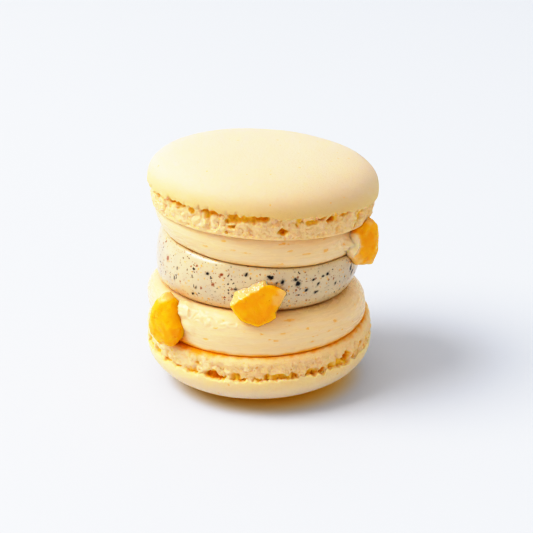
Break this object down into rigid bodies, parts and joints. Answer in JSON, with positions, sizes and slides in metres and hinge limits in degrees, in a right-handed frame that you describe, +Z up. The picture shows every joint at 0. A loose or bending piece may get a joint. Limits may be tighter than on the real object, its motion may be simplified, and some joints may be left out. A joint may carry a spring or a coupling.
{
  "type": "french macaron",
  "caption": "Round macaron: two smooth almond shells with ruffled feet, layers of yellow and speckled cream between them, and dice of candied orange peel at the rim.",
  "frame": {"origin": "the middle of the bottom shell's flat resting spot, at Z = 0", "axes": "+Z up through the shells and the creams, -Y towards the viewer of the picture, so that +X is to the picture's right"},
  "size_m": [0.0458, 0.0453, 0.0484],
  "materials": {
    "shell_bottom": "matt, pale straw yellow, with an apricot foot",
    "cream_bottom": "satin, pale orange yellow",
    "cream_middle": "glossy, greyish ivory with black, brown and rust specks",
    "cream_top": "satin, pale yellow",
    "shell_top": "matt, pale cream yellow, with an apricot foot",
    "peel_left": "wet, bright yellow orange",
    "peel_centre": "sticky, bright orange with a pale grainy side",
    "peel_right": "sticky, bright orange with a pale pith side"
  },
  "bodies": {
    "root": {"shell_bottom": "shell_bottom", "cream_bottom": "cream_bottom", "cream_middle": "cream_middle", "cream_top": "cream_top", "shell_top": "shell_top", "peel_left": "peel_left", "peel_centre": "peel_centre", "peel_right": "peel_right"}
  },
  "joints": []
}
